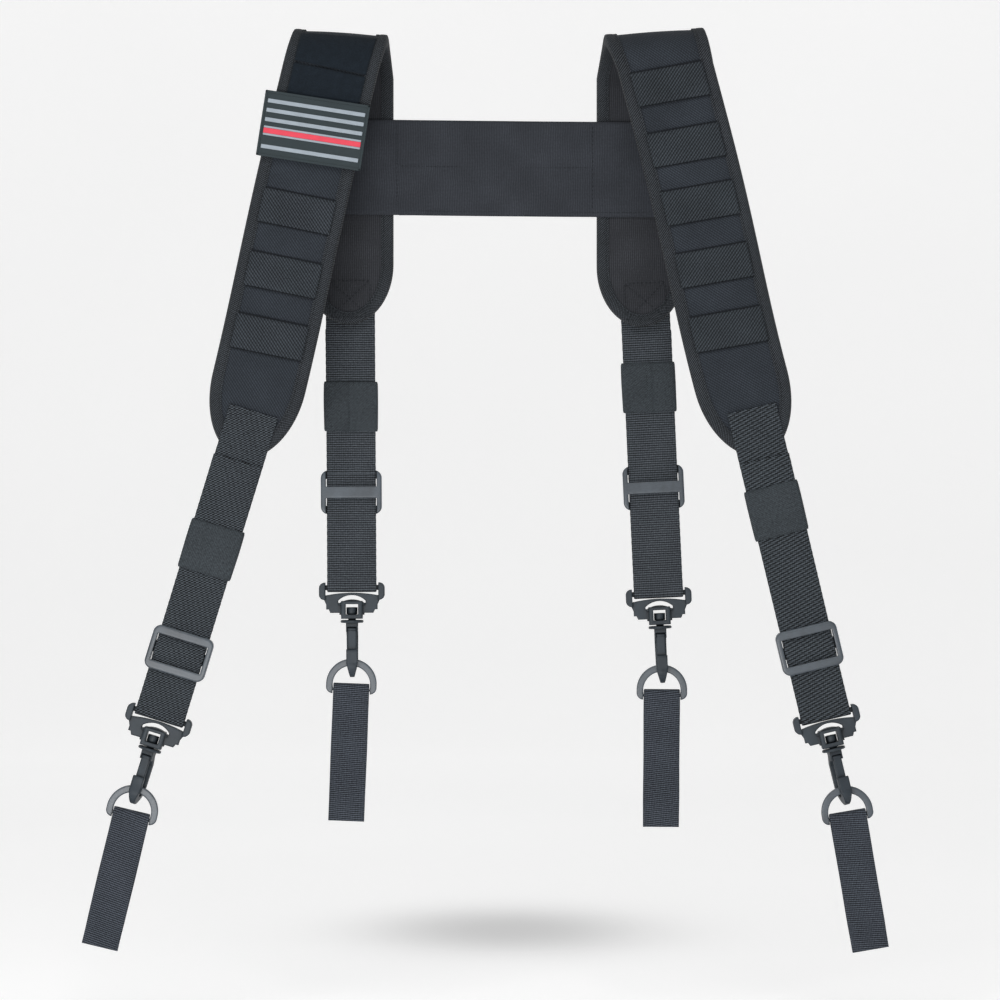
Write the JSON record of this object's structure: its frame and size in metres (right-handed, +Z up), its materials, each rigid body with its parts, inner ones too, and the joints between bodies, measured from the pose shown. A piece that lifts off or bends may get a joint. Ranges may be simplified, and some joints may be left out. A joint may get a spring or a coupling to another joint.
{
  "type": "padded suspenders",
  "caption": "Padded H-back suspenders: two shoulder pads joined by a yoke, with four adjustable webbing straps ending in swivel hooks, D-rings and belt loops.",
  "frame": {"origin": "middle of the shoulder line, level with the inside top of the two pad arches", "axes": "+Z up, +X to the wearer's left, +Y to the wearer's back"},
  "size_m": [0.6107, 0.0824, 0.7042],
  "materials": {
    "foam": "closed-cell foam",
    "cover_fabric": "woven nylon",
    "binding_tape": "grosgrain",
    "webbing": "woven nylon webbing",
    "loop_tape": "loop pile",
    "yoke_fabric": "woven nylon",
    "plastic": "moulded acetal",
    "patch_rubber": "soft moulded rubber",
    "patch_pale": "soft moulded rubber",
    "patch_red": "soft moulded rubber"
  },
  "bodies": {
    "root": {"right_pad_foam": "foam", "right_pad_cover": "cover_fabric", "right_pad_binding": "binding_tape", "left_pad_foam": "foam", "left_pad_cover": "cover_fabric", "left_pad_binding": "binding_tape", "left_webbing_rows": "webbing", "right_webbing_rows": "webbing", "right_loop_tapes": "loop_tape", "yoke_panel": "yoke_fabric", "yoke_loop_field": "loop_tape", "right_front_tab": "webbing", "left_front_tab": "webbing", "right_rear_tab": "webbing", "left_rear_tab": "webbing"},
    "patch": {"patch_hook_backing": "loop_tape", "patch_base": "patch_rubber", "patch_bars": "patch_pale", "patch_red_bar": "patch_red"},
    "right_front_strap": {"right_front_strap_webbing": "webbing"},
    "right_front_keeper": {"right_front_keeper": "webbing"},
    "right_front_tri_glide": {"right_front_tri_glide": "plastic"},
    "right_front_bight": {"right_front_webbing_bight": "webbing"},
    "right_front_tail": {"right_front_strap_tail": "webbing"},
    "right_front_hook_base": {"right_front_hook_base": "plastic"},
    "right_front_swivel_hook": {"right_front_swivel_hook": "plastic"},
    "right_front_gate": {"right_front_gate": "plastic"},
    "right_front_d_ring": {"right_front_d_ring": "plastic"},
    "right_front_belt_loop": {"right_front_belt_loop": "webbing"},
    "left_front_strap": {"left_front_strap_webbing": "webbing"},
    "left_front_keeper": {"left_front_keeper": "webbing"},
    "left_front_tri_glide": {"left_front_tri_glide": "plastic"},
    "left_front_bight": {"left_front_webbing_bight": "webbing"},
    "left_front_tail": {"left_front_strap_tail": "webbing"},
    "left_front_hook_base": {"left_front_hook_base": "plastic"},
    "left_front_swivel_hook": {"left_front_swivel_hook": "plastic"},
    "left_front_gate": {"left_front_gate": "plastic"},
    "left_front_d_ring": {"left_front_d_ring": "plastic"},
    "left_front_belt_loop": {"left_front_belt_loop": "webbing"},
    "right_rear_strap": {"right_rear_strap_webbing": "webbing"},
    "right_rear_keeper": {"right_rear_keeper": "webbing"},
    "right_rear_tri_glide": {"right_rear_tri_glide": "plastic"},
    "right_rear_bight": {"right_rear_webbing_bight": "webbing"},
    "right_rear_tail": {"right_rear_strap_tail": "webbing"},
    "right_rear_hook_base": {"right_rear_hook_base": "plastic"},
    "right_rear_swivel_hook": {"right_rear_swivel_hook": "plastic"},
    "right_rear_gate": {"right_rear_gate": "plastic"},
    "right_rear_d_ring": {"right_rear_d_ring": "plastic"},
    "right_rear_belt_loop": {"right_rear_belt_loop": "webbing"},
    "left_rear_strap": {"left_rear_strap_webbing": "webbing"},
    "left_rear_keeper": {"left_rear_keeper": "webbing"},
    "left_rear_tri_glide": {"left_rear_tri_glide": "plastic"},
    "left_rear_bight": {"left_rear_webbing_bight": "webbing"},
    "left_rear_tail": {"left_rear_strap_tail": "webbing"},
    "left_rear_hook_base": {"left_rear_hook_base": "plastic"},
    "left_rear_swivel_hook": {"left_rear_swivel_hook": "plastic"},
    "left_rear_gate": {"left_rear_gate": "plastic"},
    "left_rear_d_ring": {"left_rear_d_ring": "plastic"},
    "left_rear_belt_loop": {"left_rear_belt_loop": "webbing"}
  },
  "joints": [
    {"name": "right_front_strap_flex", "type": "hinge", "parent": "root", "child": "right_front_strap", "pos_m": [-0.1931, -0.0314, -0.3156], "axis": [-0.9558, 0, 0.294], "range_deg": [-15, 45]},
    {"name": "right_front_keeper_slide", "type": "slide", "parent": "right_front_strap", "child": "right_front_keeper", "axis": [-0.294, 0, -0.9558], "range_m": [-0.045, 0.045]},
    {"name": "right_front_adjust", "type": "slide", "parent": "right_front_strap", "child": "right_front_bight", "axis": [-0.294, 0, -0.9558], "range_m": [-0.045, 0.025], "deforming": ["right_front_strap_webbing"]},
    {"name": "right_front_glide_slide", "type": "slide", "parent": "right_front_strap", "child": "right_front_tri_glide", "axis": [-0.294, 0, -0.9558], "range_m": [-0.046, 0.026]},
    {"name": "right_front_tail_slide", "type": "slide", "parent": "right_front_bight", "child": "right_front_tail", "axis": [-0.294, 0, -0.9558], "range_m": [-0.046, 0.026], "deforming": ["right_front_strap_tail"]},
    {"name": "right_front_base_swing", "type": "hinge", "parent": "right_front_bight", "child": "right_front_hook_base", "pos_m": [-0.25355, -0.0322, -0.51211], "axis": [-0.9558, 0, 0.294], "range_deg": [-40, 40]},
    {"name": "right_front_hook_swivel", "type": "hinge", "parent": "right_front_hook_base", "child": "right_front_swivel_hook", "pos_m": [-0.25355, -0.0322, -0.51211], "axis": [0.294, 0, 0.9558], "continuous": true},
    {"name": "right_front_gate_open", "type": "hinge", "parent": "right_front_swivel_hook", "child": "right_front_gate", "pos_m": [-0.26352, -0.03515, -0.54273], "axis": [0.9413, -0.1736, -0.2896], "range_deg": [0, 15], "stiffness_Nm_per_rad": 0.02, "springref_deg": -11.46},
    {"name": "right_front_ring_swing", "type": "hinge", "parent": "right_front_swivel_hook", "child": "right_front_d_ring", "pos_m": [-0.27055, -0.0322, -0.56736], "axis": [-0.9724, 0, 0.2334], "range_deg": [-40, 40]},
    {"name": "right_front_loop_swing", "type": "hinge", "parent": "right_front_d_ring", "child": "right_front_belt_loop", "pos_m": [-0.27524, -0.0322, -0.5869], "axis": [-0.9724, 0, 0.2334], "range_deg": [-40, 40]},
    {"name": "left_front_strap_flex", "type": "hinge", "parent": "root", "child": "left_front_strap", "pos_m": [0.2027, -0.0314, -0.314], "axis": [-0.9724, 0, -0.2334], "range_deg": [-15, 45]},
    {"name": "left_front_keeper_slide", "type": "slide", "parent": "left_front_strap", "child": "left_front_keeper", "axis": [0.2334, 0, -0.9724], "range_m": [-0.018, 0.065]},
    {"name": "left_front_adjust", "type": "slide", "parent": "left_front_strap", "child": "left_front_bight", "axis": [0.2334, 0, -0.9724], "range_m": [-0.06, 0.025], "deforming": ["left_front_strap_webbing"]},
    {"name": "left_front_glide_slide", "type": "slide", "parent": "left_front_strap", "child": "left_front_tri_glide", "axis": [0.2334, 0, -0.9724], "range_m": [-0.061, 0.026]},
    {"name": "left_front_tail_slide", "type": "slide", "parent": "left_front_bight", "child": "left_front_tail", "axis": [0.2334, 0, -0.9724], "range_m": [-0.061, 0.026], "deforming": ["left_front_strap_tail"]},
    {"name": "left_front_base_swing", "type": "hinge", "parent": "left_front_bight", "child": "left_front_hook_base", "pos_m": [0.25016, -0.0322, -0.51168], "axis": [-0.9724, 0, -0.2334], "range_deg": [-40, 40]},
    {"name": "left_front_hook_swivel", "type": "hinge", "parent": "left_front_hook_base", "child": "left_front_swivel_hook", "pos_m": [0.25016, -0.0322, -0.51168], "axis": [-0.2334, 0, 0.9724], "continuous": true},
    {"name": "left_front_gate_open", "type": "hinge", "parent": "left_front_swivel_hook", "child": "left_front_gate", "pos_m": [0.25818, -0.03515, -0.54287], "axis": [0.9576, 0.1736, 0.2299], "range_deg": [0, 15], "stiffness_Nm_per_rad": 0.02, "springref_deg": -11.46},
    {"name": "left_front_ring_swing", "type": "hinge", "parent": "left_front_swivel_hook", "child": "left_front_d_ring", "pos_m": [0.26365, -0.0322, -0.56789], "axis": [-0.9857, 0, -0.1685], "range_deg": [-40, 40]},
    {"name": "left_front_loop_swing", "type": "hinge", "parent": "left_front_d_ring", "child": "left_front_belt_loop", "pos_m": [0.26704, -0.0322, -0.5877], "axis": [-0.9857, 0, -0.1685], "range_deg": [-40, 40]},
    {"name": "right_rear_strap_flex", "type": "hinge", "parent": "root", "child": "right_rear_strap", "pos_m": [-0.1118, 0.0314, -0.2125], "axis": [1, 0, 0.0052], "range_deg": [-15, 45]},
    {"name": "right_rear_keeper_slide", "type": "slide", "parent": "right_rear_strap", "child": "right_rear_keeper", "axis": [0.0052, 0, -1], "range_m": [-0.038, 0.028]},
    {"name": "right_rear_adjust", "type": "slide", "parent": "right_rear_strap", "child": "right_rear_bight", "axis": [0.0052, 0, -1], "range_m": [-0.028, 0.025], "deforming": ["right_rear_strap_webbing"]},
    {"name": "right_rear_glide_slide", "type": "slide", "parent": "right_rear_strap", "child": "right_rear_tri_glide", "axis": [0.0052, 0, -1], "range_m": [-0.029, 0.026]},
    {"name": "right_rear_tail_slide", "type": "slide", "parent": "right_rear_bight", "child": "right_rear_tail", "axis": [0.0052, 0, -1], "range_m": [-0.029, 0.026], "deforming": ["right_rear_strap_tail"]},
    {"name": "right_rear_base_swing", "type": "hinge", "parent": "right_rear_bight", "child": "right_rear_hook_base", "pos_m": [-0.11073, 0.0322, -0.4162], "axis": [1, 0, 0.0052], "range_deg": [-40, 40]},
    {"name": "right_rear_hook_swivel", "type": "hinge", "parent": "right_rear_hook_base", "child": "right_rear_swivel_hook", "pos_m": [-0.11073, 0.0322, -0.4162], "axis": [-0.0052, 0, 1], "continuous": true},
    {"name": "right_rear_gate_open", "type": "hinge", "parent": "right_rear_swivel_hook", "child": "right_rear_gate", "pos_m": [-0.11056, 0.0292, -0.4484], "axis": [1, 0, 0.0052], "range_deg": [0, 15], "stiffness_Nm_per_rad": 0.02, "springref_deg": -11.46},
    {"name": "right_rear_ring_swing", "type": "hinge", "parent": "right_rear_swivel_hook", "child": "right_rear_d_ring", "pos_m": [-0.11043, 0.0322, -0.474], "axis": [0.9993, 0, -0.0384], "range_deg": [-45, 45]},
    {"name": "right_rear_loop_swing", "type": "hinge", "parent": "right_rear_d_ring", "child": "right_rear_belt_loop", "pos_m": [-0.1112, 0.0322, -0.49408], "axis": [0.9993, 0, -0.0384], "range_deg": [-40, 40]},
    {"name": "left_rear_strap_flex", "type": "hinge", "parent": "root", "child": "left_rear_strap", "pos_m": [0.1166, 0.0314, -0.2143], "axis": [0.9989, 0, 0.0471], "range_deg": [-15, 45]},
    {"name": "left_rear_keeper_slide", "type": "slide", "parent": "left_rear_strap", "child": "left_rear_keeper", "axis": [0.0471, 0, -0.9989], "range_m": [-0.022, 0.038]},
    {"name": "left_rear_adjust", "type": "slide", "parent": "left_rear_strap", "child": "left_rear_bight", "axis": [0.0471, 0, -0.9989], "range_m": [-0.038, 0.025], "deforming": ["left_rear_strap_webbing"]},
    {"name": "left_rear_glide_slide", "type": "slide", "parent": "left_rear_strap", "child": "left_rear_tri_glide", "axis": [0.0471, 0, -0.9989], "range_m": [-0.039, 0.026]},
    {"name": "left_rear_tail_slide", "type": "slide", "parent": "left_rear_bight", "child": "left_rear_tail", "axis": [0.0471, 0, -0.9989], "range_m": [-0.039, 0.026], "deforming": ["left_rear_strap_tail"]},
    {"name": "left_rear_base_swing", "type": "hinge", "parent": "left_rear_bight", "child": "left_rear_hook_base", "pos_m": [0.12634, 0.0322, -0.42077], "axis": [0.9989, 0, 0.0471], "range_deg": [-40, 40]},
    {"name": "left_rear_hook_swivel", "type": "hinge", "parent": "left_rear_hook_base", "child": "left_rear_swivel_hook", "pos_m": [0.12634, 0.0322, -0.42077], "axis": [-0.0471, 0, 0.9989], "continuous": true},
    {"name": "left_rear_gate_open", "type": "hinge", "parent": "left_rear_swivel_hook", "child": "left_rear_gate", "pos_m": [0.12785, 0.0292, -0.45293], "axis": [0.9989, 0, 0.0471], "range_deg": [0, 15], "stiffness_Nm_per_rad": 0.02, "springref_deg": -11.46},
    {"name": "left_rear_ring_swing", "type": "hinge", "parent": "left_rear_swivel_hook", "child": "left_rear_d_ring", "pos_m": [0.12906, 0.0322, -0.47851], "axis": [1, 0, -0.007], "range_deg": [-45, 45]},
    {"name": "left_rear_loop_swing", "type": "hinge", "parent": "left_rear_d_ring", "child": "left_rear_belt_loop", "pos_m": [0.12892, 0.0322, -0.49861], "axis": [1, 0, -0.007], "range_deg": [-40, 40]},
    {"name": "patch_peel", "type": "slide", "parent": "root", "child": "patch", "axis": [0, -1, 0], "range_m": [0, 0.06]}
  ],
  "couplings": [
    {"joint": "right_front_glide_slide", "follows": "right_front_adjust", "ratio": 1},
    {"joint": "right_front_tail_slide", "follows": "right_front_adjust", "ratio": 1},
    {"joint": "left_front_glide_slide", "follows": "left_front_adjust", "ratio": 1},
    {"joint": "left_front_tail_slide", "follows": "left_front_adjust", "ratio": 1},
    {"joint": "right_rear_glide_slide", "follows": "right_rear_adjust", "ratio": 1},
    {"joint": "right_rear_tail_slide", "follows": "right_rear_adjust", "ratio": 1},
    {"joint": "left_rear_glide_slide", "follows": "left_rear_adjust", "ratio": 1},
    {"joint": "left_rear_tail_slide", "follows": "left_rear_adjust", "ratio": 1}
  ]
}
